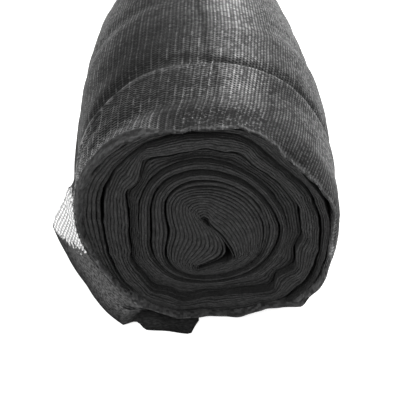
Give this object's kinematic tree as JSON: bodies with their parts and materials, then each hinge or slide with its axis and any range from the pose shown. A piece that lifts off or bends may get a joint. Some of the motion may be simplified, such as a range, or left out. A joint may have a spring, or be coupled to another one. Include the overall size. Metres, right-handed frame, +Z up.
{
  "type": "debris netting roll",
  "caption": "Roll of black knitted debris netting lying on its side, loosened at the front end, with the free corner of its last turn standing off.",
  "frame": {"origin": "on the floor under the middle of the roll, halfway along it", "axes": "+Y along the roll away from its loosened end, +Z up, so the loose corner is at -X and -Y"},
  "size_m": [0.2242, 1.0121, 0.1841],
  "materials": {
    "net_black": "knitted black polyethylene net in many layers, slightly glossy yarns",
    "net_sheer": "one see-through layer of the same knitted net"
  },
  "bodies": {
    "root": {"net_roll": "net_black", "loose_end": "net_sheer"}
  },
  "joints": []
}
